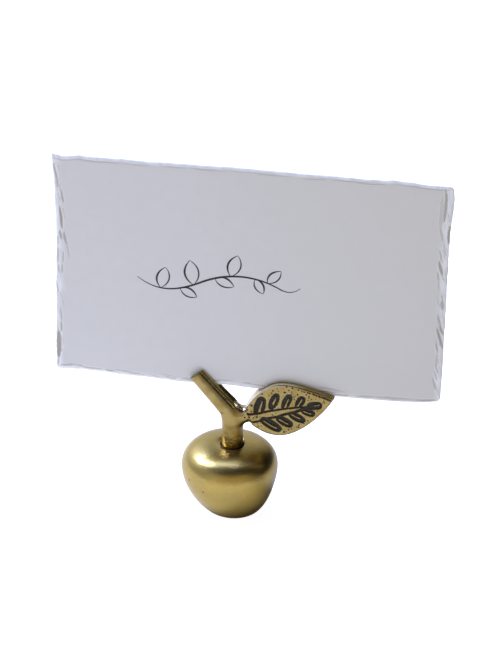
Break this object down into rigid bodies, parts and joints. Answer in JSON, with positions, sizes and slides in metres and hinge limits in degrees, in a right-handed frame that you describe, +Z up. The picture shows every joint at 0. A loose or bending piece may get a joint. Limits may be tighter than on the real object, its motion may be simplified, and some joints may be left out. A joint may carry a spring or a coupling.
{
  "type": "place card holder",
  "caption": "Small solid brass apple on a felt pad; its slotted twig and leaf casting holds an upright place card that lifts out.",
  "frame": {"origin": "on the table, at the resting face of the felt pad, under the axis of the stem", "axes": "+Z up along the stem; the card stands in the XZ plane, the leaf points to +X and the twig leans to -X; -Y is the front of the leaf"},
  "size_m": [0.0908, 0.023, 0.0913],
  "materials": {
    "satin_brass": "satin, hand-brushed antique brass",
    "antique_brass": "polished antique brass with dark patina in the engraving",
    "zinc_steel": "zinc-plated steel",
    "felt": "dense green-black felt",
    "cotton_paper": "matt handmade cotton paper with torn edges"
  },
  "bodies": {
    "holder": {"apple_body": "satin_brass", "branch_leaf": "antique_brass", "fixing_screw": "zinc_steel", "base_pad": "felt"},
    "card": {"name_card": "cotton_paper"}
  },
  "joints": [
    {"name": "card_lift", "type": "slide", "parent": "holder", "child": "card", "axis": [0, 0, 1], "range_m": [0, 0.02]}
  ]
}
